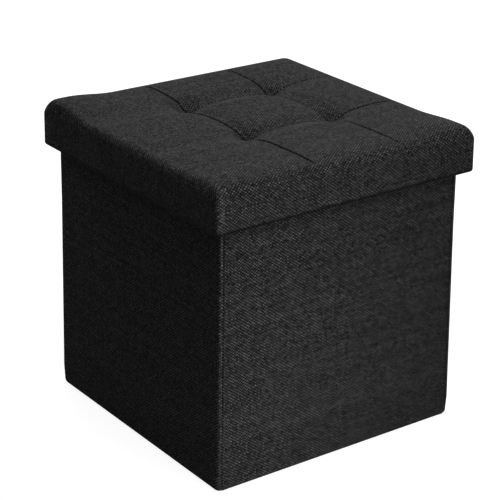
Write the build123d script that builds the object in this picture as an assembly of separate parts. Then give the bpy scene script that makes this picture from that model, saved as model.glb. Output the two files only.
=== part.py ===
"""A folding storage ottoman: a cloth-covered cube of stiff panels with a padded, tufted, lift-off lid.

Millimetres, +Z up. The origin is on the floor, under the middle of the box. The front is -Y, the right is +X.
The front and back walls are single panels. Each side wall is two half panels that fold inwards at their middle,
so that the front wall moves straight back until the six panels lie in one flat stack. A loose, cloth-covered
board lies on the sewn bottom cloth and holds the box open.
"""

import os

from build123d import *

# The box
box_side = 351.0  # over the covered walls, both ways
box_height = 355.0  # floor to the top edge of the walls
wall_board = 3.5  # fibreboard inside each wall
cover_cloth = 1.2  # backed outer cloth, on the box and on the lid
lining_cloth = 0.6  # thin non-woven cloth inside the box and under the lid
binding_depth = 12.0  # how far the binding reaches down over the top edge of a wall
binding_top = 1.2  # thickness of the binding over the edge of the board
seam_width = 4.0  # topstitched seam that stands along each vertical corner
seam_rise = 0.8  # how far that seam stands proud of the wall
corner_round = 3.0  # rounding of the bottom cloth at the four corners

# The bottom
base_cloth = 1.0  # sewn bottom cloth
base_board_thickness = 3.5
base_play = 1.0  # all round, between the loose base board and the lining
tab_length = 70.0  # pull tab of ribbon, sewn flat on the base board
tab_width = 22.0
tab_thickness = 0.5
tab_inset = 18.0  # front edge of the base board to the near end of the tab

# The lid
skirt_gap = 7.1  # between the walls and the inside of the skirt
skirt_drop = 24.0  # how far the skirt reaches down over the walls
rim_board = 5.0  # stiff strips inside the skirt
lid_board_thickness = 5.0
foam_height = 22.9  # lid board to the underside of the cover, at the middle
crown = 3.0  # how far the middle of each edge lies below the middle of the lid
lid_corner = 7.0  # radius of the vertical corners
lid_edge = 18.0  # radius of the padded top edge
tuft_count = 2  # rows of tufts each way
tuft_shift = 18.0  # how far the tufts stand off the middle, to the right and to the back
tuft_depth = 10.0
tuft_hollow = 22.0  # radius of the round hollow pulled down at each tuft
thread = 0.7  # radius of a tuft's bundle of thread

# Staples
staple_width = 10.0
staple_wire = 1.0
staple_thickness = 0.5
leg_short = 1.5  # a staple's points stop this far short of the far face
staples_per_side = 4

# Clearances
run_gap = 0.3  # between pieces that slide over each other
fold_gap = 0.3  # between panels once they are folded flat
middle_gap = 1.0  # between the two half panels of a side wall

# Worked out from the sizes above
half_box = box_side / 2
wall = cover_cloth + wall_board + lining_cloth
half_inside = half_box - wall
base_under = base_cloth + run_gap
base_top = base_under + base_board_thickness + 2 * lining_cloth
wall_foot = base_top + tab_thickness + run_gap
hem_top = wall_foot - run_gap
binding_foot = box_height - binding_depth
lid_under = box_height + run_gap
lid_board_under = lid_under + lining_cloth
lid_board_top = lid_board_under + lid_board_thickness
lid_top = lid_board_top + foam_height + cover_cloth
skirt_foot = box_height - skirt_drop
half_hollow = half_box + skirt_gap  # inside the turned-in cloth of the skirt
half_lid = half_hollow + rim_board + 2 * cover_cloth
crown_radius = (half_lid**2 + crown**2) / (2 * crown)
tuft_pitch = 2 * half_lid / (tuft_count + 1)
tuft_places = [tuft_shift - half_lid + tuft_pitch * (i + 1) for i in range(tuft_count)]


def block(low, high):
    """A box between two opposite corners."""
    size = [b - a for a, b in zip(low, high)]
    middle = [(a + b) / 2 for a, b in zip(low, high)]
    return Pos(*middle) * Box(*size)


def save(name, shape):
    """Writes one node. A group of separate pieces is one compound."""
    solids = shape if isinstance(shape, list) else shape.solids()
    if len(solids) == 1:
        export_step(solids[0], f"parts/{name}.step")
    else:
        export_step(Compound(children=list(solids)), f"parts/{name}.step")


def panel(name, start, end, turn):
    """One covered wall panel from start to end along its wall, modelled as the front wall and then turned.

    The cover wraps the ends and the bottom edge of the board, and the binding caps its top edge.
    """
    outside, inside = -half_box, -half_inside
    board_low = (start + cover_cloth, outside + cover_cloth, wall_foot + cover_cloth)
    board_high = (end - cover_cloth, inside - lining_cloth, box_height - binding_top)
    board = block(board_low, board_high)
    pocket = block(board_low, (board_high[0], inside, binding_foot))
    cover = block((start, outside, wall_foot), (end, inside, binding_foot)) - pocket
    lining = pocket - board
    binding = block((start, outside, binding_foot), (end, inside, box_height)) - board
    pieces = {"board": board, "cover": cover, "lining": lining, "binding": binding}
    for piece, shape in pieces.items():
        save(f"{name}_{piece}", Rot(0, 0, turn) * shape)


def walls():
    """The two full walls, and the four half panels that stop short of them and of each other."""
    panel("front", -half_box, half_box, 0)
    panel("back", -half_box, half_box, 180)
    near, far = middle_gap / 2, half_inside - fold_gap
    panel("right_front", -far, -near, 90)
    panel("right_rear", near, far, 90)
    panel("left_front", near, far, -90)
    panel("left_rear", -far, -near, -90)


def corner_seams(name, turn):
    """The two raised seams along the vertical corners of a full wall."""
    strips = []
    for inner in (-half_box, half_box - seam_width):
        low = (inner, -half_box - seam_rise, wall_foot)
        high = (inner + seam_width, -half_box, binding_foot)
        strips.append(Rot(0, 0, turn) * block(low, high))
    save(name, strips)


def rounded_slab(half, radius, low, high):
    """A square slab with rounded vertical corners."""
    return Pos(0, 0, low) * extrude(RectangleRounded(2 * half, 2 * half, radius), high - low)


def bottom_cloth():
    """The bottom cloth, turned up into a low hem that the walls stand on."""
    tray = rounded_slab(half_box, corner_round, 0, hem_top)
    inner = half_box - cover_cloth
    hollow = rounded_slab(inner, corner_round - cover_cloth, base_cloth, hem_top)
    save("bottom_cloth", tray - hollow)


def base():
    """The loose base board in its thin cloth, with a ribbon to pull it out by."""
    half = half_inside - base_play
    board_half = half - lining_cloth
    board_under = base_under + lining_cloth
    board_top = base_top - lining_cloth
    board = block((-board_half, -board_half, board_under), (board_half, board_half, board_top))
    cover = block((-half, -half, board_under), (half, half, base_top)) - board
    save("base_board", board)
    save("base_cover", cover)
    save("base_backing", block((-half, -half, base_under), (half, half, board_under)))
    tab_near = -half + tab_inset
    tab_low = (-tab_width / 2, tab_near, base_top)
    tab_high = (tab_width / 2, tab_near + tab_length, base_top + tab_thickness)
    save("pull_tab", block(tab_low, tab_high))


def cushion(inset):
    """The lid's outer form, brought in by inset all over: crowned, round-edged, with a hollow at each tuft."""
    half = half_lid - inset
    low, high = skirt_foot + inset, lid_top - inset
    edge = lid_edge - inset
    profile = RectangleRounded(2 * half, 2 * (high - low), edge)
    across = extrude(Plane.XZ * Pos(0, low) * profile, half, both=True)
    along = Rot(0, 0, 90) * across
    form = rounded_slab(half, lid_corner - inset, low, high) & across & along
    form = form & (Pos(0, 0, lid_top - crown_radius) * Sphere(crown_radius - inset))
    for x in tuft_places:
        for y in tuft_places:
            middle = lid_top - tuft_depth + tuft_hollow
            form -= Pos(x, y, middle) * Sphere(tuft_hollow + inset)
    return form


def staple(leg):
    """A staple with its crown along X and its legs up from the crown."""
    half, side, top = staple_width / 2, staple_wire / 2, staple_thickness
    bar = block((-half, -side, 0), (half, side, top))
    left = block((-half, -side, top), (-half + top, side, top + leg))
    return bar + left + mirror(left, Plane.YZ)


def tuft_staples():
    """One staple beside each thread, on the underside of the lid board."""
    place = lid_board_under - staple_thickness
    one = staple(lid_board_thickness - leg_short)
    return [Pos(x, y + 2 * thread, place) * one for x in tuft_places for y in tuft_places]


def cover_staples():
    """A row of staples on each side, through the turned-in cloth into the stiff strips of the skirt."""
    one = Rot(90, 0, 0) * staple(cover_cloth + rim_board - leg_short)
    height = (skirt_foot + lid_board_under) / 2
    pitch = 2 * half_hollow / staples_per_side
    row = []
    for turn in range(0, 360, 90):
        for i in range(staples_per_side):
            x = -half_hollow + pitch * (i + 0.5)
            row.append(Rot(0, 0, turn) * Pos(x, -half_hollow + staple_thickness, height) * one)
    return row


def lid():
    """Board, stiff skirt strips, foam, cover, lining, and the threads and staples that hold them."""
    outer = cushion(0)
    inner = cushion(cover_cloth)
    wide = 2 * half_lid
    hollow = half_hollow

    threads = []
    for x in tuft_places:
        for y in tuft_places:
            top = lid_top - tuft_depth + thread
            rod = Cylinder(thread, top - lid_board_under, align=(Align.CENTER, Align.CENTER, Align.MIN))
            threads.append(Pos(x, y, lid_board_under) * rod)
    under = tuft_staples()
    sides = cover_staples()

    def layer(low, high):
        return block((-wide, -wide, low), (wide, wide, high))

    board = inner & layer(lid_board_under, lid_board_top)
    foam = inner - layer(0, lid_board_top)
    lining = block((-hollow, -hollow, lid_under), (hollow, hollow, lid_board_under))
    cover = outer - inner - block((-hollow, -hollow, 0), (hollow, hollow, lid_board_under))
    for rod in threads:
        board -= rod
        foam -= rod
        cover -= rod
    for piece in under:
        board -= piece
        lining -= piece

    rim_inside = half_hollow + cover_cloth
    rim_under = skirt_foot + cover_cloth
    strip = block((-wide, -wide, rim_under), (wide, -rim_inside, lid_board_under))
    short = block((-wide, -rim_inside, rim_under), (-rim_inside, rim_inside, lid_board_under))
    rims = {
        "front": inner & strip,
        "back": inner & (Rot(0, 0, 180) * strip),
        "left": inner & short,
        "right": inner & (Rot(0, 0, 180) * short),
    }
    for piece in sides:
        cover -= piece
    for side, rim in rims.items():
        for piece in sides:
            rim -= piece
        save(f"lid_rim_{side}", rim)

    save("lid_board", board)
    save("lid_foam", foam)
    save("lid_cover", cover)
    save("lid_lining", lining)
    save("tuft_threads", threads)
    save("tuft_staples", under)
    save("cover_staples", sides)


os.makedirs("parts", exist_ok=True)
walls()
corner_seams("front_corner_seams", 0)
corner_seams("back_corner_seams", 180)
bottom_cloth()
base()
lid()
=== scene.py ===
"""Looks of a folding storage ottoman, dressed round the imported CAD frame.

Metres, +Z up, in the frame's own axes: the front is -Y and the right is +X. Sizes and places come from the
frame's nodes. The cloth keeps a map of its own, in metres along and across the yarns, for the weave.
"""

import math

import bpy
import numpy as np
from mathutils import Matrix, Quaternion, Vector


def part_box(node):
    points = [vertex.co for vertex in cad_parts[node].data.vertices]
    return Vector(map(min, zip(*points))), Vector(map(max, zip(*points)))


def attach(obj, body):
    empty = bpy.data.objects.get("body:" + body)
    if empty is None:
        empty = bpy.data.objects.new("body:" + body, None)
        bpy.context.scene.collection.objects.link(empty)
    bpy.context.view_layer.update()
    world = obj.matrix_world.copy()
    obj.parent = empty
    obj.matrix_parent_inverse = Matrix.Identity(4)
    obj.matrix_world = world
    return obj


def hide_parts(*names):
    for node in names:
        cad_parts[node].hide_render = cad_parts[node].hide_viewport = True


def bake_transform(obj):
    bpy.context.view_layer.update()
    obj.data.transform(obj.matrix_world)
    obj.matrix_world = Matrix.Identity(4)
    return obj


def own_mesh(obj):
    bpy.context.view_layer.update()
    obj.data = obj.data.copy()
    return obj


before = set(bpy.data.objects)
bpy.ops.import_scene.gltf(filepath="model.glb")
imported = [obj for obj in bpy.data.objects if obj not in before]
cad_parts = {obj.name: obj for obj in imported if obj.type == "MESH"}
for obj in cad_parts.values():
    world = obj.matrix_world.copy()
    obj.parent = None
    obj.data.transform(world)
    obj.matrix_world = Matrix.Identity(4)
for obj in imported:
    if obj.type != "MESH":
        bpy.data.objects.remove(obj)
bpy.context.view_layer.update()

MM = 0.001
CLOTH_MAP = "Cloth"
# name of the point attribute that holds painted shade (above 0) and painted highlight (below 0)
PAINTED_LIGHT = "painted_light"
rng = np.random.default_rng(7)

# Places read from the frame
lid_low, lid_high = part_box("lid_cover")
LID_HALF = lid_high.x
SKIRT_FOOT = lid_low.z
LID_TOP = lid_high.z
lining_low, lining_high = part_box("lid_lining")
HOLLOW_HALF = lining_high.x
LID_BOARD_UNDER = lining_high.z
wall_low, wall_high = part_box("front_cover")
BOX_HALF = wall_high.x
WALL_FOOT = wall_low.z
BINDING_FOOT = wall_high.z
BOX_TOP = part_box("front_binding")[1].z
INSIDE_HALF = -wall_high.y
SIDE_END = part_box("right_rear_cover")[1].y
base_low, base_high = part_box("base_cover")
BASE_HALF = base_high.x
BASE_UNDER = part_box("base_backing")[0].z


# ---- Meshes ----

def smooth_step(t):
    t = np.clip(t, 0.0, 1.0)
    return t * t * (3 - 2 * t)


def add(name, data):
    """A new object in the scene."""
    made = bpy.data.objects.new(name, data)
    bpy.context.scene.collection.objects.link(made)
    return made


def mesh_piece(name, points, faces, maps=None, material=None, smooth=True, painted_light=None):
    """A mesh object from points, faces and, for cloth, one (u, v) in metres for each face corner.

    The last argument is painted light in the cloth's material at each point: painted shade of 1 in a sewn
    seam's groove, and below 0 a painted highlight where a raised fold would catch the light."""
    mesh = bpy.data.meshes.new(name)
    faces = faces if isinstance(faces, list) else faces.tolist()
    mesh.from_pydata(np.asarray(points).tolist(), [], faces)
    if maps is not None:
        layer = mesh.uv_layers.new(name=CLOTH_MAP)
        layer.uv.foreach_set("vector", np.asarray(maps, np.float32).ravel())
    if painted_light is not None:
        painted_shade_and_highlight = mesh.attributes.new(PAINTED_LIGHT, "FLOAT", "POINT")
        painted_shade_and_highlight.data.foreach_set("value", np.asarray(painted_light, np.float32).ravel())
    mesh.polygons.foreach_set("use_smooth", [smooth] * len(mesh.polygons))
    mesh.update()
    if material:
        mesh.materials.append(material)
    return add(name, mesh)


def grid_faces(rows, columns, wrap=False):
    """Quads of a grid of points stored row by row. With wrap, the last column joins the first."""
    across = columns if wrap else columns - 1
    r, c = np.meshgrid(np.arange(rows - 1), np.arange(across), indexing="ij")
    d = (c + 1) % columns
    corners = [r * columns + c, r * columns + d, (r + 1) * columns + d, (r + 1) * columns + c]
    return np.stack([k.ravel() for k in corners], -1)


def grid_rim(rows, columns):
    """The points round the edge of such a grid, in order."""
    return np.concatenate([np.arange(columns), np.arange(1, rows) * columns + columns - 1,
                           (rows - 1) * columns + np.arange(columns - 2, -1, -1),
                           np.arange(rows - 2, 0, -1) * columns])


def fan_faces(rim, centre):
    """Triangles between a closed rim and the point in its middle."""
    return np.stack([rim, np.roll(rim, -1), np.full_like(rim, centre)], -1)


def grid_of(*parts):
    """A grid of points, or of (u, v), from coordinates that run along its rows, its columns or both."""
    return np.stack(np.broadcast_arrays(*parts), -1)


def in_order(*parts):
    """The places in all parts, in order and each once."""
    return np.unique(np.round(np.concatenate(parts), 7))


def both_ways(half):
    return np.concatenate([-half[:0:-1], half])


def bell(offset, width):
    return np.exp(-((offset / width) ** 2))


# ---- Materials ----

class Nodes:
    """Builds the nodes of one tree. Most methods give back an output socket."""

    def __init__(self, tree):
        self.tree = tree

    def node(self, kind, inputs=(), **settings):
        made = self.tree.nodes.new(kind)
        for key, value in settings.items():
            setattr(made, key, value)
        for key, value in dict(inputs).items():
            self.put(made.inputs[key], value)
        return made

    def put(self, socket, value):
        if isinstance(value, bpy.types.NodeSocket):
            self.tree.links.new(value, socket)
        else:
            socket.default_value = value

    def math(self, operation, a, b=0.0, c=0.0):
        return self.node("ShaderNodeMath", {0: a, 1: b, 2: c}, operation=operation).outputs[0]

    def times(self, a, b, plus=None):
        return self.math("MULTIPLY", a, b) if plus is None else self.math("MULTIPLY_ADD", a, b, plus)

    def plus(self, a, b):
        return self.math("ADD", a, b)

    def minus(self, a, b):
        return self.math("SUBTRACT", a, b)

    def on_object(self):
        return self.node("ShaderNodeTexCoord").outputs["Object"]

    def on_cloth(self):
        return self.node("ShaderNodeUVMap", uv_map=CLOTH_MAP).outputs[0]

    def split(self, vector):
        return self.node("ShaderNodeSeparateXYZ", {0: vector}).outputs

    def join(self, x, y, z=0.0):
        return self.node("ShaderNodeCombineXYZ", {"X": x, "Y": y, "Z": z}).outputs[0]

    def noise(self, vector, scale, detail=2.0, roughness=0.5):
        inputs = {"Vector": vector, "Scale": scale, "Detail": detail, "Roughness": roughness}
        return self.node("ShaderNodeTexNoise", inputs).outputs["Fac"]

    def white_noise(self, dimensions, **inputs):
        return self.node("ShaderNodeTexWhiteNoise", inputs, noise_dimensions=dimensions).outputs["Value"]

    def stretch(self, value, low, high, to_low=0.0, to_high=1.0):
        """Maps low..high to to_low..to_high, held at the ends."""
        inputs = {"Value": value, "From Min": low, "From Max": high, "To Min": to_low, "To Max": to_high}
        return self.node("ShaderNodeMapRange", inputs).outputs["Result"]

    def mix(self, share, a, b):
        inputs = {"Factor": share, "A": a, "B": b}
        return self.node("ShaderNodeMix", inputs, data_type="RGBA").outputs["Result"]

    def scale(self, colour, share):
        if not isinstance(colour, bpy.types.NodeSocket):
            colour = colour[:3]
        return self.node("ShaderNodeVectorMath", {0: colour, "Scale": share}, operation="SCALE").outputs[0]

    def bump(self, height, distance, strength):
        inputs = {"Height": height, "Distance": distance, "Strength": strength}
        return self.node("ShaderNodeBump", inputs).outputs["Normal"]


class Shader(Nodes):
    """Builds one material's nodes."""

    def __init__(self, name):
        self.material = bpy.data.materials.new(name)
        self.material.use_nodes = True
        super().__init__(self.material.node_tree)
        self.surface = self.tree.nodes["Principled BSDF"]

    def finish(self, colour, roughness, normal=None, **values):
        values.update(Base_Color=colour, Roughness=roughness)
        if normal is not None:
            values.update(Normal=normal)
        for key, value in values.items():
            self.put(self.surface.inputs[key.replace("_", " ")], value)
        return self.material


def grey(value):
    return (value, value, value, 1.0)


def linen(name, dark, light, pitch=(2.45 * MM, 1.85 * MM)):
    """Coarse plain weave: dark warp yarns run along v and paler weft yarns along u, each with its streaks."""
    s = Shader(name)
    cloth = s.on_cloth()
    u, v = s.split(cloth)[:2]
    drift_u = s.times(s.noise(cloth, 70.0, 1.0), 0.5, -0.25)
    drift_v = s.times(s.noise(s.join(v, u, 3.7), 70.0, 1.0), 0.5, -0.25)
    a = s.plus(s.math("DIVIDE", u, pitch[0]), drift_u)
    b = s.plus(s.math("DIVIDE", v, pitch[1]), drift_v)
    i, j = s.math("FLOOR", a), s.math("FLOOR", b)
    heights = []  # of the warp and of the weft: round across the yarn, up and down along it
    for place, line, crossed, swing in ((a, i, b, 0.5), (b, j, a, -0.5)):
        across = s.minus(s.minus(place, line), 0.5)
        wave = s.math("COSINE", s.times(s.plus(s.minus(crossed, 0.5), line), math.pi))
        heights.append(s.times(wave, swing, s.times(s.times(across, across), -2.4)))
    over = s.math("GREATER_THAN", *heights)  # 1 where the warp lies on top
    height = s.math("MAXIMUM", *heights)

    # each yarn's own shade, its streaks along its length, and the shade of each crossing
    streaks = []
    for line, along, seed, depth in ((i, v, 0.0, 0.8), (j, u, 40.0, 0.5)):
        own = s.white_noise("1D", W=s.plus(line, seed))
        place = s.join(s.times(line, 7.31), s.times(along, 150.0), seed)
        streak = s.stretch(s.noise(place, 1.0, 2.0, 0.6), 0.34, 0.66)
        both = s.times(own, 0.3 * depth, s.times(streak, 0.7 * depth))
        streaks.append(s.plus(both, 0.5 * (1 - depth)))
    yarn = s.plus(s.times(over, streaks[0]), s.times(s.minus(1.0, over), streaks[1]))
    crossing = s.white_noise("2D", Vector=s.join(i, j))
    shade = s.times(crossing, 0.25, s.times(yarn, 0.75))
    shade = s.math("POWER", s.stretch(shade, 0.2, 0.8), 1.4)
    mottle = s.stretch(s.noise(cloth, 45.0, 3.0), 0.3, 0.7, 0.92, 1.08)
    # painted shade: darker where the yarns dip under each other and down their flanks, a little lighter on
    # their tops
    painted_yarn_shade = s.stretch(height, -0.6, 0.5, 0.2, 1.15)
    system = s.stretch(over, 0.0, 1.0, 1.65, 0.3)
    strength = s.times(s.times(mottle, painted_yarn_shade), system)
    # painted shade and painted highlight: the mesh's painted light darkens the colour in seam grooves, round
    # the tufts and on the lid's foot, and lightens raised folds
    painted_light = s.node("ShaderNodeAttribute", attribute_name=PAINTED_LIGHT).outputs["Fac"]
    painted_shade_and_highlight = s.times(painted_light, -0.65, 1.0)
    scaled = s.scale(s.mix(shade, dark, light), s.times(strength, painted_shade_and_highlight))
    normal = s.bump(s.times(yarn, 0.9, height), 0.5 * MM, 0.8)
    rough = s.stretch(yarn, 0.2, 0.8, 0.96, 0.86)
    return s.finish(scaled, rough, normal, Specular_IOR_Level=0.02, Sheen_Weight=0.05, Sheen_Roughness=0.5)


def non_woven(name, colour, dot_pitch=2.2 * MM):
    """Thin felted cloth with a grid of small pressed dots."""
    s = Shader(name)
    place = s.on_object()
    fibres = s.noise(place, 900.0, 3.0, 0.7)
    cloud = s.noise(place, 60.0, 2.0)
    total = 0.0
    for axis in s.split(place):
        total = s.plus(s.math("COSINE", s.times(axis, 2 * math.pi / dot_pitch)), total)
    dots = s.stretch(total, 0.9, 1.9)
    shade = s.times(s.stretch(fibres, 0.3, 0.7, 0.7, 1.3), s.stretch(cloud, 0.3, 0.7, 0.85, 1.15))
    shade = s.times(shade, s.stretch(dots, 0.0, 1.0, 1.0, 0.7))
    height = s.minus(s.times(fibres, 0.4), dots)
    rough = s.stretch(dots, 0.0, 1.0, 0.85, 0.6)
    return s.finish(s.scale(colour, shade), rough, s.bump(height, 0.15 * MM, 0.6),
                    Specular_IOR_Level=0.1, Sheen_Weight=0.05)


def ribbon(name, colour, rib_pitch=0.9 * MM):
    """Ribbed tape."""
    s = Shader(name)
    place = s.on_cloth()
    ribs = s.math("COSINE", s.times(s.split(place)[0], 2 * math.pi / rib_pitch))
    shade = s.stretch(s.noise(place, 500.0, 2.0), 0.3, 0.7, 0.8, 1.25)
    # painted shade between the ribs, and lighter on their crests
    shade = s.times(shade, s.stretch(ribs, -1.0, 1.0, 0.7, 1.15))
    return s.finish(s.scale(colour, shade), 0.6, s.bump(ribs, 0.12 * MM, 0.6),
                    Specular_IOR_Level=0.15, Sheen_Weight=0.05)


def thread(name, colour):
    """Twisted thread."""
    s = Shader(name)
    twist = s.node("ShaderNodeTexWave", {"Vector": s.on_object(), "Scale": 900.0, "Distortion": 0.6},
                   bands_direction="DIAGONAL").outputs["Fac"]
    # painted shade in the grooves of the twist, and lighter on its crests
    scaled = s.scale(colour, s.stretch(twist, 0.0, 1.0, 0.7, 1.3))
    return s.finish(scaled, 0.55, s.bump(twist, 0.1 * MM, 0.5), Specular_IOR_Level=0.1)


def fibreboard(name):
    """Pressed board: pale brown with short dark and light fibres."""
    s = Shader(name)
    place = s.on_object()
    long = s.node("ShaderNodeMapping", {"Vector": place, "Scale": (1.0, 1.0, 6.0)}).outputs[0]
    fibres = s.noise(long, 420.0, 4.0, 0.7)
    cloud = s.noise(place, 30.0, 2.0)
    colour = s.mix(s.stretch(fibres, 0.3, 0.7), (0.24, 0.15, 0.085, 1), (0.50, 0.36, 0.23, 1))
    scaled = s.scale(colour, s.stretch(cloud, 0.3, 0.7, 0.9, 1.1))
    return s.finish(scaled, s.stretch(fibres, 0.3, 0.7, 0.7, 0.9), s.bump(fibres, 0.1 * MM, 0.4))


def steel_wire(name):
    """Bright drawn wire, slightly uneven."""
    s = Shader(name)
    drawn = s.noise(s.on_object(), 1500.0, 2.0)
    colour = s.mix(drawn, (0.42, 0.42, 0.43, 1), (0.68, 0.68, 0.70, 1))
    rough = s.stretch(drawn, 0.3, 0.7, 0.28, 0.45)
    return s.finish(colour, rough, s.bump(drawn, 0.05 * MM, 0.3), Metallic=1.0)


LINEN = linen("linen_charcoal", grey(0.008), grey(0.135))
NON_WOVEN = non_woven("non_woven_black", grey(0.020))
RIBBON = ribbon("ribbon_black", grey(0.014))
THREAD = thread("thread_black", grey(0.016))
FIBREBOARD = fibreboard("fibreboard_bare")
WIRE = steel_wire("staple_wire")


# ---- Camera, floor and light ----

def add_camera():
    """The photograph's viewing angle: a long lens, above the near corner, with a trace of roll."""
    azimuth, elevation, roll = (math.radians(d) for d in (-36.02, 22.54, 0.644))
    back = Vector((math.sin(azimuth) * math.cos(elevation), -math.cos(azimuth) * math.cos(elevation),
                   math.sin(elevation)))
    data = bpy.data.cameras.new("camera")
    data.sensor_width = 36.0
    data.lens = 130.16
    data.clip_start, data.clip_end = 0.05, 50.0
    camera = add("camera", data)
    camera.rotation_mode = "QUATERNION"
    camera.rotation_quaternion = (-back).to_track_quat("-Z", "Y") @ Quaternion((0, 0, 1), roll)
    camera.location = (-1.2418, -1.6994, 1.0812)
    bpy.context.scene.camera = camera


def white_to_the_eye(s):
    """1 where the camera, a mirror or glass looks, 0 for the light that falls on the object."""
    path = s.node("ShaderNodeLightPath").outputs
    reflected = s.math("MAXIMUM", path["Is Glossy Ray"], path["Is Transmission Ray"])
    return s.math("MAXIMUM", path["Is Camera Ray"], reflected)


def add_world(strength):
    """A white studio, faint as a light and full white to the eye."""
    world = bpy.data.worlds.new("studio")
    world.use_nodes = True
    s = Nodes(world.node_tree)
    lit, plain = s.tree.nodes["Background"], s.node("ShaderNodeBackground")
    for background, level in ((lit, strength), (plain, 1.0)):
        background.inputs["Color"].default_value = (1, 1, 1, 1)
        background.inputs["Strength"].default_value = level
    both = s.node("ShaderNodeMixShader", {0: white_to_the_eye(s), 1: lit.outputs[0], 2: plain.outputs[0]})
    s.put(s.tree.nodes["World Output"].inputs["Surface"], both.outputs[0])
    bpy.context.scene.world = world


def add_floor(shade=0.91):
    """A wide pale floor. To the eye it glows white, a shade darker near the object, and shows its shadow."""
    size = 6.0
    corners = [(-size, -size, 0), (size, -size, 0), (size, size, 0), (-size, size, 0)]
    s = Shader("floor_pale")
    s.finish(grey(0.4), 0.9, Specular_IOR_Level=0.0)
    away = s.node("ShaderNodeVectorMath", {0: s.on_object()}, operation="LENGTH").outputs["Value"]
    level = s.stretch(away, 2 * LID_HALF, 4 * LID_HALF, shade, 1.0)
    glow = s.node("ShaderNodeEmission", {"Strength": s.times(white_to_the_eye(s), level)})
    both = s.node("ShaderNodeAddShader", {0: s.surface.outputs[0], 1: glow.outputs[0]})
    s.put(s.tree.nodes["Material Output"].inputs["Surface"], both.outputs[0])
    floor = mesh_piece("floor", corners, [[0, 1, 2, 3]], material=s.material, smooth=False)


def add_lamp(name, place, target, size, watts):
    data = bpy.data.lights.new(name, "AREA")
    data.size = size
    data.energy = watts
    lamp = add(name, data)
    lamp.location = place
    lamp.rotation_mode = "QUATERNION"
    lamp.rotation_quaternion = (Vector(target) - Vector(place)).to_track_quat("-Z", "Y")


# ---- The lid ----

EDGE = 12 * MM  # rounding of the padded top edge
HEM_ROUND = (LID_HALF - HOLLOW_HALF) / 2  # the skirt's foot turns in over half its own thickness
FLAT = LID_HALF - EDGE
CORNER_ZONE = 140 * MM  # how far from the middle the cloth starts to gather into the corners
CORNER_TOP, CORNER_SIDE, CORNER_INSIDE = 8 * MM, 3.5 * MM, 2 * MM
# how proud the folded cloth of each corner stands, by the signs of its x and y
CORNER_LIFTS = {(-1, -1): 2.0 * MM, (1, -1): 4.0 * MM, (-1, 1): 5.5 * MM, (1, 1): 0.0}
SWELL = 2.5 * MM  # the padding stands this much above its rim
TUFT = LID_HALF / 3  # cloth length from the middle to each seam; the tufts are where seams cross
TUFTS = [(x, y) for x in (-TUFT, TUFT) for y in (-TUFT, TUFT)]
TUFT_SHIFT = 18 * MM  # the tufts stand this much off the middle, to the back and to the right
TUFT_DEPTH = 13.5 * MM
TUFT_REACH = 18 * MM  # at this distance half of that depth is left
VALLEY = 17 * MM  # how wide the cloth dips towards a seam before it is puffed
# cloth lengths from the middle of the top to the ends of the rounded edge, the side, the hem and the cloth
LAP_EDGE = FLAT + EDGE * math.pi / 2
LAP_SIDE = LAP_EDGE + (LID_TOP - EDGE) - (SKIRT_FOOT + HEM_ROUND)
LAP_HEM = LAP_SIDE + HEM_ROUND * math.pi
LAP_INSIDE = LAP_HEM + LID_BOARD_UNDER - (SKIRT_FOOT + HEM_ROUND)


def lid_profile(h):
    """Half width and height of the lid's outline, h along the cloth from the middle of the top."""
    turn = np.clip((h - FLAT) / EDGE, 0, math.pi / 2)
    half = np.minimum(h, FLAT) + EDGE * np.sin(turn)
    z = LID_TOP - EDGE + EDGE * np.cos(turn)
    z = z - np.clip(h - LAP_EDGE, 0, LAP_SIDE - LAP_EDGE)
    under = np.clip((h - LAP_SIDE) / HEM_ROUND, 0, math.pi)
    half = half - HEM_ROUND * (1 - np.cos(under))
    z = z - HEM_ROUND * np.sin(under)
    return half, z + np.clip(h - LAP_HEM, 0, None)


def lid_corner(h):
    """Corner radius of the lid's outline, h along the cloth from the middle of the top."""
    stops = [0, CORNER_ZONE, FLAT, LAP_EDGE, LAP_SIDE, LAP_HEM, LAP_INSIDE]
    radii = [1e-6, 1e-6, CORNER_TOP, CORNER_SIDE + 1 * MM, CORNER_SIDE, CORNER_INSIDE, CORNER_INSIDE]
    return np.interp(h, stops, radii)


def wrapped(a, b, profile, corner, zone):
    """Point on a cloth wrapped over a square form, at cloth lengths a and b from its middle.

    profile and corner give the outline's half width, height and corner radius. From zone outwards the cloth
    gathers into the corners. The second result is the length along the outline from the middle of a side.
    """
    h, t = np.maximum(abs(a), abs(b)), np.minimum(abs(a), abs(b))
    half, z = profile(h)
    radius = corner(h)
    straight = half - radius
    left = straight + radius * math.pi / 4 - zone
    share = np.clip((t - zone) / np.maximum(h - zone, 1e-9), 0, 1)
    along = np.where((t > zone) & (h > zone), zone + share * left, t)
    angle = np.clip((along - straight) / radius, 0, math.pi / 4)
    tangential = np.where(along > straight, straight + radius * np.sin(angle), along)
    outward = half - np.where(along > straight, radius * (1 - np.cos(angle)), 0)
    wide = abs(a) >= abs(b)
    x = np.where(wide, outward, tangential) * np.sign(a)
    y = np.where(wide, tangential, outward) * np.sign(b)
    return grid_of(x, y, z), along


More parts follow.
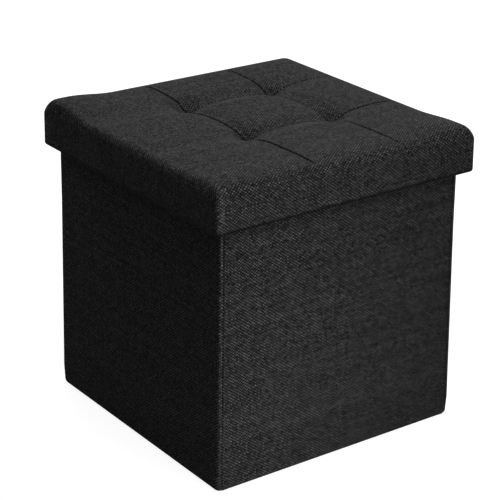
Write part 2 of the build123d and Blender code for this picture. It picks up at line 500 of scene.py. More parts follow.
def wrap_mesh(name, lines, points, along, material, painted_light=None):
    """The closed mesh of a wrapped cloth whose grid lines are at the cloth lengths in lines."""
    a, b = np.meshgrid(lines, lines, indexing="ij")
    n = len(lines)
    faces = grid_faces(n, n)[:, ::-1]
    rim = np.roll(grid_rim(n, n)[::-1], 1)
    points = points.reshape(-1, 3)
    # the weave runs straight down each side, and meets itself at the corners
    map_y = grid_of(np.sign(a) * along, b).reshape(-1, 2)
    map_x = grid_of(a, np.sign(b) * along).reshape(-1, 2)
    facing_y = abs(b.ravel()[faces].mean(1)) >= abs(a.ravel()[faces].mean(1))
    maps = np.where(facing_y[:, None, None], map_y[faces], map_x[faces])
    fan = fan_faces(rim, len(points))
    points = np.vstack([points, [[0, 0, points[rim[0], 2]]]])
    maps = np.concatenate([maps.reshape(-1, 2), points[fan.ravel(), :2]])
    if painted_light is not None:
        painted_light = np.append(painted_light, 0.0)
    return mesh_piece(name, points, faces.tolist() + fan.tolist(), maps, material, painted_light=painted_light)


def ease(distance):
    """A tuft's depth is divided by this at a distance from it."""
    return 1 + (distance / TUFT_REACH) ** 2.4


def seam_depth(along):
    """How deep the cloth is drawn in along a seam: most at the tufts, less between, little outside."""
    near = np.minimum(abs(along - TUFT), abs(along + TUFT))
    inside = 1 - smooth_step((abs(along) - TUFT + 6 * MM) / (14 * MM))
    rest = 4 * MM * inside + 0.7 * MM * (1 - inside)
    return rest + (TUFT_DEPTH - rest) * (1 / ease(near))


def shifted(line):
    """Cloth length of a line of the tuft pattern, which stands off the middle of the lid."""
    return line + TUFT_SHIFT * (1 - smooth_step((abs(line) - 110 * MM) / (60 * MM)))


def padded_surface(a, b):
    """The wrapped lid with its padding swollen above the rim and its corners standing proud."""
    points, along = wrapped(a, b, lid_profile, lid_corner, CORNER_ZONE)
    h, t = np.maximum(abs(a), abs(b)), np.minimum(abs(a), abs(b))
    points[..., 2] += SWELL * (1 - smooth_step((h - FLAT + 25 * MM) / (40 * MM)))
    corner = smooth_step((t - 90 * MM) / (70 * MM)) * smooth_step((h - 130 * MM) / (35 * MM))
    for (sx, sy), lift in CORNER_LIFTS.items():
        here = (np.sign(a) == sx) & (np.sign(b) == sy)
        points[..., 2] += lift * here * corner * (1 - smooth_step((h - FLAT - 2 * MM) / (EDGE * 1.3)))
    return points, along


def inflate(points, pinned, faces, pressure=1.5, frames=20):
    """The moved points of a simulated sheet that is held at some points and pushed out from behind."""
    sheet = mesh_piece("sim_sheet", points, faces)
    group = sheet.vertex_groups.new(name="held")
    group.add(np.flatnonzero(pinned).tolist(), 1.0, "REPLACE")
    cloth = sheet.modifiers.new("Cloth", "CLOTH")
    for key, value in dict(
            quality=6, mass=0.25, tension_stiffness=25, compression_stiffness=12, shear_stiffness=6,
            bending_stiffness=1.2, use_pressure=True, uniform_pressure_force=pressure,
            vertex_group_mass="held").items():
        setattr(cloth.settings, key, value)
    cloth.settings.effector_weights.gravity = 0
    cloth.collision_settings.use_collision = False
    scene = bpy.context.scene
    for number in range(1, frames + 1):
        scene.frame_set(number)
    made = sheet.evaluated_get(bpy.context.evaluated_depsgraph_get())
    moved = np.empty(len(points) * 3)
    made.data.vertices.foreach_get("co", moved)
    scene.frame_set(1)
    bpy.data.objects.remove(sheet)
    return moved.reshape(-1, 3)


def spline_weights(wanted, held):
    """Matrix that reads a smooth curve through evenly spaced held places at the wanted places."""
    step = held[1] - held[0]
    position = np.clip((wanted - held[0]) / step, 0, len(held) - 1.001)
    base = np.floor(position).astype(int)
    t = position - base
    shares = [-t / 2 + t**2 - t**3 / 2, 1 - 2.5 * t**2 + 1.5 * t**3, t / 2 + 2 * t**2 - 1.5 * t**3,
              -(t**2) / 2 + t**3 / 2]
    weights = np.zeros((len(wanted), len(held)))
    rows = np.arange(len(wanted))
    for k, share in enumerate(shares):
        np.add.at(weights, (rows, np.clip(base + k - 1, 0, len(held) - 1)), share)
    return weights


def puffed_top():
    """The simulated padding: its lines along the cloth, and how far it leaves the plain surface there."""
    step = TUFT / 16
    count = int((FLAT + 14 * MM) / step)
    lines = np.arange(-count, count + 1) * step
    a, b = np.meshgrid(lines, lines, indexing="ij")
    plain = padded_surface(shifted(a), shifted(b))[0]
    h = np.maximum(abs(shifted(a)), abs(shifted(b)))
    on_a, on_b = (abs(abs(k) - TUFT) < step / 4 for k in (a, b))
    fade = 1 - smooth_step((h - FLAT + 6 * MM) / (12 * MM))
    depth_a, depth_b = seam_depth(b), seam_depth(a)
    off_a, off_b = abs(abs(a) - TUFT), abs(abs(b) - TUFT)
    from_tuft = np.hypot(off_a, off_b)
    crater = TUFT_DEPTH / ease(from_tuft)
    dip = np.maximum(np.maximum(depth_a * bell(off_a, VALLEY), depth_b * bell(off_b, VALLEY)), crater)
    dip = np.where(on_a, np.maximum(depth_a, crater), np.where(on_b, np.maximum(depth_b, crater), dip))
    start = plain.copy()
    start[..., 2] -= dip * fade
    pinned = on_a | on_b | (h > FLAT + 4 * MM) | (from_tuft < 3 * MM)
    faces = grid_faces(len(lines), len(lines))[:, ::-1]
    moved = inflate(start.reshape(-1, 3), pinned.ravel(), faces).reshape(plain.shape)
    return lines, moved - plain


def lid_lines():
    """Places of the lid's mesh lines: even, and closer beside the two seams."""
    step = TUFT / 32
    even = np.arange(0, int(LAP_INSIDE / step) + 1) * step
    fine = [TUFT + side * k * 0.5 * MM for side in (-1, 1) for k in (1, 2, 3)]
    return both_ways(in_order(even[even < LAP_INSIDE - 1 * MM], fine, [LAP_INSIDE]))


def make_lid_cover():
    """One sheet of cloth over the padding, down the skirt, round its foot and up inside it."""
    lines = lid_lines()
    a, b = np.meshgrid(lines, lines, indexing="ij")
    plain, along = padded_surface(shifted(a), shifted(b))
    held, puff = puffed_top()
    weights = spline_weights(lines, held)
    moved = np.einsum("ik,klc,jl->ijc", weights, puff, weights)
    h = np.maximum(abs(shifted(a)), abs(shifted(b)))
    moved *= (1 - smooth_step((h - FLAT - 4 * MM) / (6 * MM)))[..., None]
    points = plain + moved

    fade = 1 - smooth_step((h - (FLAT - 10 * MM)) / (14 * MM))
    # each seam, and how clearly it shows before its first tuft, between its tufts and beyond them
    seams = ((a, b, -TUFT, 2.0, 1.2, 1.2), (a, b, TUFT, 1.1, 0.5, 1.2),
             (b, a, -TUFT, 0.1, 0.5, 1.5), (b, a, TUFT, 0.1, 0.5, 1.2))
    # painted light of the cloth's colour: painted shade above 0, painted highlight below 0
    painted_light = 0 * a
    for across, run, line, before, between, beyond in seams:
        off = across - line
        share = before + (between - before) * smooth_step((run + TUFT + 6 * MM) / (12 * MM))
        share = share + (beyond - between) * smooth_step((run - TUFT + 6 * MM) / (12 * MM))
        if before < 1:
            share = share * (1 - smooth_step((-run - 105 * MM) / (45 * MM)))
        groove, ridge = bell(off, 0.9 * MM), bell(off - 1.7 * MM, 0.8 * MM)
        points[..., 2] += (0.5 * MM * ridge - 1.3 * MM * groove) * fade * share
        # painted shade in each seam's groove
        painted_light = np.maximum(painted_light, 0.6 * groove * fade * np.minimum(share, 1.0))

    for x, y in TUFTS:
        r, angle = np.hypot(a - x, b - y), np.arctan2(b - y, a - x)
        folds = np.cos(angle * 8 + rng.uniform(0, 6)) + 0.6 * np.cos(angle * 5 + rng.uniform(0, 6))
        ring = smooth_step((r - 2 * MM) / (5 * MM)) * bell(r, 12 * MM)
        points[..., 2] += 0.6 * MM * folds * ring
        # painted shade in the well round each tuft
        painted_light = np.maximum(painted_light, 0.4 * bell(r, 13 * MM))

    # painted shade on the skirt's foot, where the cloth turns under and faces down
    hem = smooth_step((h - LAP_SIDE + 1 * MM) / (2 * MM))
    painted_light = np.maximum(painted_light, 1.5 * hem)
    # painted highlight: each corner's pleat is turned the same way round, and its fold is painted lighter, as
    # if it caught the light
    sideways = np.where(abs(b) >= abs(a), plain[..., 0] * np.sign(b), -plain[..., 1] * np.sign(a))
    from_corner = lid_profile(h)[0] - sideways
    pleat_highlight = bell(from_corner - 8 * MM, 6 * MM) * smooth_step((h - FLAT) / EDGE)
    painted_light = painted_light - pleat_highlight * (1 - hem)
    cover = wrap_mesh("lid_cushion", shifted(lines), points, along, LINEN, painted_light)
    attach(cover, "lid")
    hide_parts("lid_cover", "lid_foam")


# ---- The walls ----

TOP_INSET = 0.9 * MM  # the cloth is drawn in this much at the skirt
FOOT_FLARE = 3.4 * MM  # and stands this much out at the floor
FOOT_ROUND = 5 * MM  # the turn of its lower edge
FOOT_CORNER = 9 * MM  # radius of the vertical corners at the floor
CLOTH = 1.2 * MM  # thickness over the boards
SLEEVE = BOX_HALF - CLOTH + 0.04 * MM  # inside of the outer cloth, just clear of the boards
SEAM_RISE = wall_low.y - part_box("front_corner_seams")[0].y
SEAM_WIDTH = 4 * MM  # width of the raised band beside a corner
JOIN = (INSIDE_HALF + SIDE_END) / 2  # where the cloth of a full wall meets the cloth of a side wall
FOOT_JOIN = (WALL_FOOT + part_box("bottom_cloth")[1].z) / 2
QUARTER = 2 * BOX_HALF - (2 - math.pi / 2) * 3 * MM  # cloth length from the middle of one wall to the next
FRONT, RIGHT, BACK, LEFT = 0, 1, 2, -1  # quarter turns from the front wall
FULL_WALLS = ((FRONT, "front"), (BACK, "back"))
STITCH = 3.2 * MM  # from one stitch to the next
DRAWN = 0.75 * STITCH  # the part of a stitch that shows
RIM = 0.8 * MM  # thickness of a side wall's cloth at its ends
SIDE_LAP = 5 * MM  # length of that cloth round its ends
SHARP = math.radians(50)  # edges that turn more than this are shaded as edges
# height of a ripple, then its length and phase along the wall, and up it
RIPPLES = ((0.55, 31, 0.9, 71, 2.1), (0.35, 19, 2.2, 44, 0.4), (0.3, 53, 4.0, 29, 1.3))


def flared(z):
    """Half width of the box over its cloth at height z, with its lower edge turned under."""
    lean = np.interp(z, [0, SKIRT_FOOT], [FOOT_FLARE, -TOP_INSET])
    low = FOOT_ROUND - np.clip(z, 0, FOOT_ROUND)
    return BOX_HALF + lean - (FOOT_ROUND - np.sqrt(FOOT_ROUND**2 - low**2))


def ripple(x, z, quarter):
    """Slight unevenness of the stretched cloth, none at the corners, the hem and the skirt."""
    total = 0.0
    for size, length, phase, tall, lag in RIPPLES:
        along = np.sin(x / (length * MM) + phase + 2 * quarter)
        total = total + size * along * np.sin(z / (tall * MM) + lag - quarter)
    fade = smooth_step((z - FOOT_ROUND) / (40 * MM)) * smooth_step((SKIRT_FOOT - z) / (30 * MM))
    return 0.4 * MM * total * fade * smooth_step((BOX_HALF - 8 * MM - abs(x)) / (30 * MM))


def steps(start, end, pitch, fine=()):
    """Places from start to end about a pitch apart, with the places in fine added."""
    count = max(1, round((end - start) / pitch))
    return in_order(np.linspace(start, end, count + 1), fine)


def turned(points, quarter):
    """Points turned by quarter turns about the vertical axis."""
    c, s = round(math.cos(quarter * math.pi / 2)), round(math.sin(quarter * math.pi / 2))
    x, y = points[..., 0], points[..., 1]
    return np.stack([c * x - s * y, s * x + c * y, points[..., 2]], -1)


def shell(name, outer, inner, maps, material, painted_light=None, quarter=0, order=1):
    """A closed sheet between two grids of one shape, its rims stitched. maps is a grid of (u, v) in metres.

    It is turned by quarter turns, and order -1 takes its columns the other way, to turn its faces over."""
    outer, inner, maps = (k[:, ::order] for k in (turned(outer, quarter), turned(inner, quarter), maps))
    rows, columns = outer.shape[:2]
    n = rows * columns
    skin = grid_faces(rows, columns)
    ring = grid_rim(rows, columns)
    after = np.roll(ring, -1)
    rims = np.stack([after, ring, ring + n, after + n], -1)
    faces = np.concatenate([skin, skin[:, ::-1] + n, rims])
    grid = np.concatenate([maps.reshape(-1, 2)] * 2)
    points = np.concatenate([outer.reshape(-1, 3), inner.reshape(-1, 3)])
    if painted_light is not None:
        painted_light = np.concatenate([painted_light, 0 * painted_light])
    made = mesh_piece(name, points, faces, grid[faces].reshape(-1, 2), material, painted_light=painted_light)
    made.data.set_sharp_from_angle(angle=SHARP)
    return made


def dress(piece, body, nodes=()):
    """Attaches a piece to its body; a piece given the two bodies it spans keeps its place, with its placement
    baked in. Hides the nodes it stands for.
    """
    if isinstance(body, str):
        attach(piece, body)
    else:
        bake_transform(piece)
    if nodes:
        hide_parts(*nodes)


def full_wall(z, quarter):
    """Outer grid, map and painted shade and highlight of a full wall's cloth at heights z, all modelled as
    the front wall.
    """
    # places along half the wall: share of its flat face, angle round its corner, share of the return
    least = BOX_HALF - FOOT_CORNER
    face = steps(0, 1, 4.2 * MM / least, 1 - np.arange(0, 8.1, 0.5) * MM / least)[None, :]
    arc, back = np.linspace(0, math.pi / 2, 7)[None, 1:], np.linspace(0, 1, 4)[None, 1:]
    z = z[:, None]
    radius = np.interp(z, [0, 25 * MM, 260 * MM, SKIRT_FOOT], [FOOT_CORNER, 4 * MM, 3 * MM, 0.6 * MM])
    half = flared(z)
    flat = half - radius
    turn = math.pi / 2 * radius
    run = back * (flat - JOIN)
    x = np.concatenate([face * flat, flat + radius * np.sin(arc), half + 0 * back], 1)
    y = np.concatenate([-half + 0 * face, -flat - radius * np.cos(arc), -flat + run], 1)
    length = np.concatenate([face * flat, flat + radius * arc, flat + radius * math.pi / 2 + run], 1)
    u = length * (QUARTER - JOIN + half - BOX_HALF) / length[:, -1:]
    mirrored = ((x, -1), (y, 1), (u, -1), (length, 1))
    x, y, u, length = (np.concatenate([sign * k[:, :0:-1], k], 1) for k, sign in mirrored)
    edge = half - length  # from the corner's edge, along the face
    band = smooth_step((SEAM_WIDTH + 0.4 * MM - edge) / (0.8 * MM)) * smooth_step((edge + turn) / turn)
    groove = bell(edge - SEAM_WIDTH - 0.9 * MM, 0.8 * MM)
    second = bell(edge - SEAM_WIDTH - 2.9 * MM, 1.1 * MM)
    room = half + TOP_INSET - BOX_HALF
    y = y - 1.5 * SEAM_RISE * band + np.minimum(0.6 * MM, room) * groove - 0.7 * MM * second * (1 - groove)
    y = y - ripple(x, z, quarter) * (abs(y) > flat)
    painted_light = 1.3 * groove - 0.6 * band  # painted shade in the groove beside the seam, and painted highlight on the raised band
    return grid_of(x, y, z), grid_of(u + quarter * QUARTER, z), painted_light


def side_wall(z, quarter):
    """Outer grid and map of a side wall's cloth at heights z, modelled as the front wall."""
    z = z[:, None]
    x = steps(-JOIN, JOIN, 4.2 * MM, np.arange(-3, 3.1, 0.5) * MM)[None, :]
    half = flared(z)
    y = -half - ripple(x, z, quarter)
    u = x * (1 - (half - BOX_HALF) / JOIN) + quarter * QUARTER
    return grid_of(x, y, z), grid_of(u, z)


def inside_sleeve(outer, limit):
    """The inner skin of a wall's cloth: the outer grid brought in to the boards."""
    x, y, z = (outer[..., k] for k in range(3))
    return grid_of(np.clip(x, -limit, limit), np.clip(y, -SLEEVE, None), z)


def wall_cloth():
    """The outer cloth of the four walls."""
    z = steps(FOOT_JOIN, BINDING_FOOT + 0.5 * MM, 5 * MM, FOOT_JOIN + np.arange(1, 11) * 0.25 * MM)
    for quarter, body in FULL_WALLS:
        outer, maps, painted_light = full_wall(z, quarter)
        cloth = shell(f"{body}_wall_cloth", outer, inside_sleeve(outer, SLEEVE), maps, LINEN, painted_light, quarter)
        dress(cloth, body, [f"{body}_cover", f"{body}_corner_seams"])
    for quarter, side in ((RIGHT, "right"), (LEFT, "left")):
        # one cloth for both halves, turned in at its ends
        outer, maps = side_wall(z, quarter)
        inner = inside_sleeve(outer, JOIN - RIM)
        share = np.maximum(smooth_step(abs(inner[..., 0]) / (4 * MM)), 0.1)  # thin where it folds
        inner[..., 1] = outer[..., 1] + (inner[..., 1] - outer[..., 1]) * share
        first, last = outer[:, :1].copy(), outer[:, -1:].copy()
        first[..., 1] = last[..., 1] = -INSIDE_HALF - 0.1 * MM
        inner = np.concatenate([first + [RIM, 0, 0], inner, last - [RIM, 0, 0]], 1)
        outer = np.concatenate([first, outer, last], 1)
        maps = np.concatenate([maps[:, :1] - [SIDE_LAP, 0], maps, maps[:, -1:] + [SIDE_LAP, 0]], 1)
        cloth = shell(f"{side}_wall_cloth", outer, inner, maps, LINEN, quarter=quarter)
        nodes = [f"{side}_front_cover", f"{side}_rear_cover"]
        dress(cloth, (f"{side}_front", f"{side}_rear"), nodes)


def bottom_tray():
    """The sewn bottom cloth and its hem, which the walls' cloth runs on from."""
    bend = FOOT_ROUND * (1 - np.cos(np.linspace(0, math.pi / 2, 8)))
    z = in_order(bend, np.linspace(FOOT_ROUND, FOOT_JOIN, 5))[::-1]
    strips = []
    for quarter in (LEFT, FRONT, RIGHT, BACK):
        grid, uv = (full_wall if quarter in (FRONT, BACK) else side_wall)(z, quarter)[:2]
        strips.append((turned(grid, quarter)[:, :-1], uv[:, :-1]))
    outer, maps = (np.concatenate([strip[k] for strip in strips], 1) for k in (0, 1))
    half = flared(0.0)

    def ring(width, height):
        made = outer[-1:] * [width / half, width / half, 0] + [0, 0, height]
        made[..., :2] = np.clip(made[..., :2], -width, width)
        return made

    thick = 1 * MM
    inside = BASE_HALF + 0.6 * MM
    widths = (150 * MM, 90 * MM, 30 * MM)
    under = [ring(width, 0.0) for width in widths]
    over = [ring(width, thick) for width in (*widths[::-1], inside)]
    flat = [*under, *over, ring(inside + 0.3 * MM, FOOT_JOIN - 0.1 * MM)]
    rows = np.concatenate([outer, *flat])
    total, count = rows.shape[:2]
    n = total * count
    points = np.concatenate([rows.reshape(-1, 3), [[0, 0, 0], [0, 0, thick]]])
    maps = np.concatenate([*maps, *(k[0, :, :2] for k in flat), [[0, 0], [0, 0]]])

    # the last row joins the first, and each side of the hole in the middle is closed by a fan
    hole = len(outer) + len(under) - 1
    body = (grid_faces(total + 1, count, wrap=True) % n).reshape(total, count, 4)
    body = np.delete(body, hole, 0).reshape(-1, 4)[:, ::-1]
    low = fan_faces(hole * count + np.arange(count), n)[:, ::-1]
    high = np.roll(fan_faces((hole + 1) * count + np.arange(count), n + 1), 1, 1)
    corners = np.concatenate([faces.ravel() for faces in (body, low, high)])
    faces = body.tolist() + low.tolist() + high.tolist()
    tray = mesh_piece("bottom_cloth_hemmed", points, faces, maps[corners], LINEN)
    tray.data.set_sharp_from_angle(angle=SHARP)
    dress(tray, "back", ["bottom_cloth"])
    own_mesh(tray)


def panels(wall_end, side_end):
    """The flat panels of the walls: quarter turns, name of the body, and both ends along the wall."""
    split = 0.15 * MM  # half the gap at the middle fold of a side wall
    return [(FRONT, "front", -wall_end, wall_end), (BACK, "back", -wall_end, wall_end),
            (RIGHT, "right_front", -side_end, -split), (RIGHT, "right_rear", split, side_end),
            (LEFT, "left_rear", -side_end, -split), (LEFT, "left_front", split, side_end)]


def wall_linings():
    """Thin cloth on the inner faces, slightly recessed below the binding."""
    for quarter, body, start, stop in panels(BOX_HALF - CLOTH, JOIN - 0.9 * MM):
        x = steps(start, stop, 8 * MM)[None, :]
        z = steps(WALL_FOOT + 0.2 * MM, BINDING_FOOT + 0.3 * MM, 8 * MM)[:, None]
        wave = 1 + np.sin(x / (23 * MM) + z / (61 * MM)) * np.sin(z / (31 * MM))
        face = grid_of(x, -INSIDE_HALF - 0.2 * MM - 0.12 * MM * wave, z)
        rear = grid_of(x, -INSIDE_HALF - 0.56 * MM, z)
        lining = shell(f"{body}_wall_lining", face, rear, grid_of(x, z), NON_WOVEN, quarter=quarter, order=-1)
        dress(lining, body, [f"{body}_lining"])


def bindings():
    """Folded tape over the top edge of each wall, closed at its ends."""
    fold = 1.4 * MM  # radius of its rounded top
    thick = 0.75 * MM
    foot, rise = BINDING_FOOT - 0.4 * MM, BOX_TOP - fold
    out, inn = -BOX_HALF - 0.05 * MM, -INSIDE_HALF - 0.05 * MM
    middle = (out + inn) / 2
    leg = np.linspace(foot, rise, 7)
    turn = np.linspace(0, math.pi / 2, 6)[1:]
    round_y, round_z = fold * (1 - np.cos(turn)), rise + fold * np.sin(turn)
    profile_y = np.concatenate([out + 0 * leg, out + round_y, (inn - round_y)[::-1], inn + 0 * leg])
    profile_z = np.concatenate([leg, round_z, round_z[::-1], leg[::-1]])
    length = np.concatenate([[0], np.cumsum(np.hypot(np.diff(profile_y), np.diff(profile_z)))])[:, None]
    profile_y, profile_z = profile_y[:, None], profile_z[:, None]
    # the columns that close each end: how far from the end, and how far the tape is drawn in there
    inset, pull = np.array([0, 0, 0.15, 0.45]) * MM, np.array([math.inf, 1.4, 0.7, 0.25]) * MM
    end_y = np.clip(profile_y, out + np.minimum(pull, middle - out), inn - np.minimum(pull, inn - middle))
    end_z = np.minimum(profile_z, BOX_TOP - np.minimum(pull, fold))
    for quarter, body, start, stop in panels(BOX_HALF, JOIN + 0.1 * MM):
        run = steps(start + 1 * MM, stop - 1 * MM, 6 * MM)
        sag = 0.08 * MM * np.sin(run / (17 * MM))
        x = np.concatenate([start + inset, run, stop - inset[::-1]])
        y = np.concatenate([end_y, profile_y + 0 * run, end_y[:, ::-1]], 1)
        z = np.concatenate([end_z, profile_z + sag, end_z[:, ::-1]], 1)
        inner = grid_of(np.clip(x, start + thick, stop - thick),
                        np.clip(y, min(out + thick, middle), max(inn - thick, middle)),
                        np.minimum(z, BOX_TOP - thick))
        tape = shell(f"{body}_wall_binding", grid_of(x, y, z), inner, grid_of(x, length), RIBBON,
                     quarter=quarter, order=-1)
        row = []
        height = foot + 2.2 * MM
        for face, away in ((out, -1), (inn, 1)):
            for k in np.arange(start + 3 * MM, stop - 5 * MM, STITCH):
                row.append([(k, face, height), (k + DRAWN, face, height), (0, away, 0)])
        seam = threads(f"{body}_binding_stitches", turned(np.array(row), quarter), 0.22 * MM, lift=-0.35)
        dress(tape, body, [f"{body}_binding"])
        dress(seam, body)


def threads(name, stitches, radius, lift=0.55, sink=0.35 * MM):
    """Short stitches of thread: each a start, an end and the direction out of the cloth, into which it dips.

    lift is how many radii the middle of a stitch stands out of the cloth."""
    start, end, out = (stitches[:, k] for k in range(3))
    along = end - start
    side = np.cross(out, along)
    side /= np.linalg.norm(side, axis=1)[:, None]
    sides = 6
    turn = np.arange(sides) * math.pi / 3
    # rings of points: share of the length, height over the cloth and width, both in radii (None is sunk in)
    stations = ((0.0, None, 0.55), (0.12, lift - 0.25, 1.0), (0.5, lift, 1.0), (0.88, lift - 0.25, 1.0),
                (1.0, None, 0.55))
    rings = []
    for share, high, width in stations:
        centre = start + along * share + out * (-sink if high is None else high * radius)
        ring = [centre + radius * width * (math.cos(t) * side + math.sin(t) * out) for t in turn]
        rings.append(np.stack(ring, 1))
    points = np.stack(rings, 1).reshape(-1, 3)
    each = sides * len(stations)
    firsts = np.arange(len(start)) * each
    faces = grid_faces(len(stations), sides, wrap=True) + firsts[:, None, None]
    faces = faces.reshape(-1, 4).tolist()
    for base in firsts.tolist():
        faces.append(list(range(base + sides - 1, base - 1, -1)))
        faces.append(list(range(base + each - sides, base + each)))
    return mesh_piece(name, points, faces, None, THREAD)


def corner_stitches():
    """The stitching in the groove beside each vertical corner seam."""
    inset, sunk = SEAM_WIDTH + 0.7 * MM, 0.15 * MM
    for quarter, side in FULL_WALLS:
        row = []
        for z in np.arange(FOOT_ROUND, BINDING_FOOT - STITCH, STITCH):
            low, high = flared(z), flared(z + DRAWN)
            for sign in (-1, 1):
                row.append([(sign * (low - inset), -low + sunk, z),
                            (sign * (high - inset), -high + sunk, z + DRAWN), (0, -1, 0)])
        seam = threads(f"{side}_corner_stitches", turned(np.array(row), quarter), 0.28 * MM)
        dress(seam, side)


def corner_cloths():
    """The cloth that turns the corner to a folded side wall. At rest the side wall covers it."""
    z = steps(WALL_FOOT + 0.5 * MM, BINDING_FOOT - 1 * MM, 12 * MM)[:, None]
    turn = np.linspace(math.radians(-2), math.radians(84), 12)[None, :]
    bend = 5 * MM  # about the corner's radius, for the weave
    for quarter, side in FULL_WALLS:
        for sign in (-1, 1):
            end = "left" if (sign < 0) == (quarter == FRONT) else "right"

            def curve(inset):
                radius = np.minimum(flared(z), BOX_HALF) - INSIDE_HALF - inset
                x = sign * (INSIDE_HALF + radius * np.cos(turn))
                return grid_of(x, -SIDE_END + radius * np.sin(turn), z)
            maps = grid_of(sign * (QUARTER - JOIN + bend * turn), z)
            cloth = shell(f"{side}_{end}_corner_cloth", curve(0.2 * MM), curve(0.9 * MM), maps, LINEN,
                          quarter=quarter, order=sign)
            dress(cloth, side)


# ---- The base and the underside of the lid ----

def level_sheet(name, x, y, face, rear):
    """A closed sheet of lining that lies level, with its face downwards."""
    return shell(name, grid_of(x, y, face), grid_of(x, y, rear), grid_of(x, y), NON_WOVEN, order=-1)


def base_pieces():
    """The loose base board's cloth, its backing sheet and its ribbon tab."""
    edge = 1.3 * MM  # rounding of the board's edges
    zone = 150 * MM  # how far from the middle the cloth starts to gather into the corners
    low, high = base_low.z, base_high.z
    flat = BASE_HALF - edge
    side = flat + edge * math.pi / 2
    foot = side + high - low - 2 * edge
    under = foot + edge * math.pi / 2

    def profile(h):
        turn = np.clip((h - flat) / edge, 0, math.pi / 2)
        back = np.clip((h - foot) / edge, 0, math.pi / 2)
        half = np.minimum(h, flat) + edge * np.sin(turn) - edge * (1 - np.cos(back))
        half = half - np.clip(h - under, 0, None)
        z = high - edge * (1 - np.cos(turn)) - np.clip(h - side, 0, foot - side) - edge * np.sin(back)
        return half, z

    def corner(h):
        return np.interp(h, [0, zone, flat, under], [1e-6, 1e-6, 2 * MM, 2 * MM])

    spans = ((0, flat, 22), (flat, side, 5), (side, foot, 3), (foot, under, 5))
    lines = both_ways(in_order(*(np.linspace(*span) for span in spans), [under + 9 * MM]))
    a, b = np.meshgrid(lines, lines, indexing="ij")
    points, along = wrapped(a, b, profile, corner, zone)
    wave = np.sin(a / (33 * MM) + 1) * np.sin(b / (41 * MM)) + 0.6 * np.sin((a + b) / (19 * MM))
    points[..., 2] += 0.12 * MM * wave * smooth_step((flat - np.maximum(abs(a), abs(b))) / (20 * MM))
    cover = wrap_mesh("base_board_cloth", lines, points, along, NON_WOVEN)
    dress(cover, "base", ["base_cover"])

    half = BASE_HALF - 4 * MM
    x = steps(-half, half, 10 * MM)
    y = x[:, None]
    dip = 0.1 * MM * (1 + np.sin(x / (37 * MM)) * np.sin(y / (29 * MM)))
    backing = level_sheet("base_board_backing", x, y, BASE_UNDER + dip, low + 0.1 * MM)
    dress(backing, "base", ["base_backing"])

    tab_low, tab_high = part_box("pull_tab")
    wide = tab_high.x
    near, far = tab_low.y, tab_high.y
    surface = tab_high.z + 0.1 * MM
    y = steps(near, far, 1.5 * MM)[:, None]
    share = (y - near) / (far - near)
    loop = 6 * MM * smooth_step((share - 0.2) / 0.3) * smooth_step((0.8 - share) / 0.3)
    x = np.linspace(-wide, wide, 13)
    outer = grid_of(x, y, surface + loop - 0.25 * MM * (abs(x) / wide) ** 6)
    tab = shell("pull_tab_ribbon", outer, outer - [0, 0, 0.5 * MM], grid_of(y, x), RIBBON)
    dress(tab, "base", ["pull_tab"])
    # each end is sewn down with a box and a cross in it
    row = []
    side = 0.85 * wide
    for start, end in ((near + 2 * MM, near + 11 * MM), (far - 10 * MM, far - 1 * MM)):
        box = np.array([(-side, start), (side, start), (side, end), (-side, end)])
        for k, l in ((0, 1), (1, 2), (2, 3), (3, 0), (0, 2), (1, 3)):
            first, line = box[k], box[l] - box[k]
            count = max(2, int(np.linalg.norm(line) / STITCH))
            for m in range(count):
                p, q = first + line * (m + 0.1) / count, first + line * (m + 0.9) / count
                row.append([(*p, surface), (*q, surface), (0, 0, 1)])
    dress(threads("pull_tab_stitches", np.array(row), 0.25 * MM), "base")


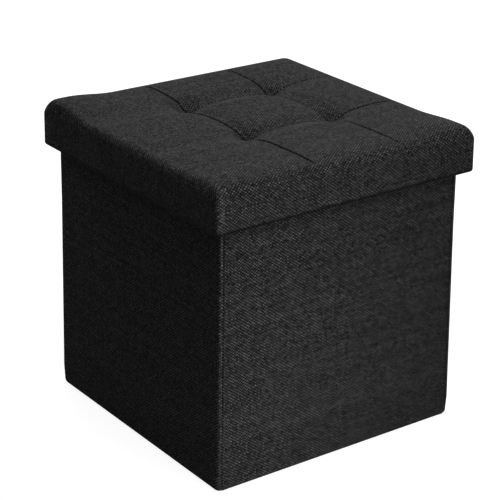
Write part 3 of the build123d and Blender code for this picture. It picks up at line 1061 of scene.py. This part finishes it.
def lid_underside():
    """The lining stapled under the lid, with its edge folded under."""
    half = HOLLOW_HALF - 0.5 * MM
    x = steps(-half, half, 9 * MM, [s * (half - k * MM) for s in (-1, 1) for k in (11, 11.8, 12.6)])
    y = x[:, None]
    rim = np.minimum(half - abs(x), half - abs(y))
    hem = 0.22 * MM * (1 - smooth_step((rim - 11 * MM) / (1.6 * MM)))
    wave = 0.1 * MM * (1 + np.sin(x / (31 * MM)) * np.sin(y / (27 * MM)))
    face = lining_low.z + 0.25 * MM - hem - wave
    lining = level_sheet("lid_under_lining", x, y, face, LID_BOARD_UNDER - 0.02 * MM)
    dress(lining, "lid", ["lid_lining"])


def tuft_ties():
    """A cross of thread at the bottom of each tuft, and the strands that hold it down."""
    row = []
    reach = 1.6 * MM
    surface = LID_TOP + SWELL - TUFT_DEPTH + 0.2 * MM
    for x, y in TUFTS:
        x, y = shifted(x), shifted(y)
        for rise in (reach, -reach):
            row.append([(x - reach, y - rise, surface), (x + reach, y + rise, surface), (0, 0, 1)])
        row.append([(x, y, LID_BOARD_UNDER), (x, y, surface), (0, 1, 0)])
    ties = threads("tuft_thread_ties", np.array(row, float), 0.35 * MM)
    dress(ties, "lid", ["tuft_threads"])


add_camera()
add_world(0.02)
add_floor()
add_lamp("front_low", (-0.13, -0.5, 0.07), (-0.12, -0.17, 0.1), 0.15, 0.45)
add_lamp("front_mid", (-0.1, -0.6, 0.4), (-0.12, -BOX_HALF, 0.18), 0.3, 0.22)
add_lamp("front_high", (-0.12, -0.6, 0.8), (-0.12, -0.17, LID_TOP), 0.25, 1.2)
add_lamp("behind", (0, 1.2, 0.9), (0, 0, LID_TOP), 0.7, 5.0)
add_lamp("right", (1.41, 0, 1.94), (0, 0, 0.25), 1.0, 22.0)
add_lamp("left", (-0.85, 0.1, 1.6), (0, 0, 0.3), 0.6, 0.85)
make_lid_cover()
wall_cloth()
bottom_tray()
wall_linings()
bindings()
corner_stitches()
corner_cloths()
base_pieces()
lid_underside()
tuft_ties()

for node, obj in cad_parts.items():
    bare = FIBREBOARD if "board" in node or "rim" in node else NON_WOVEN
    obj.data.materials.clear()
    obj.data.materials.append(WIRE if "staples" in node else bare)

bpy.context.scene.view_settings.view_transform = "Standard"
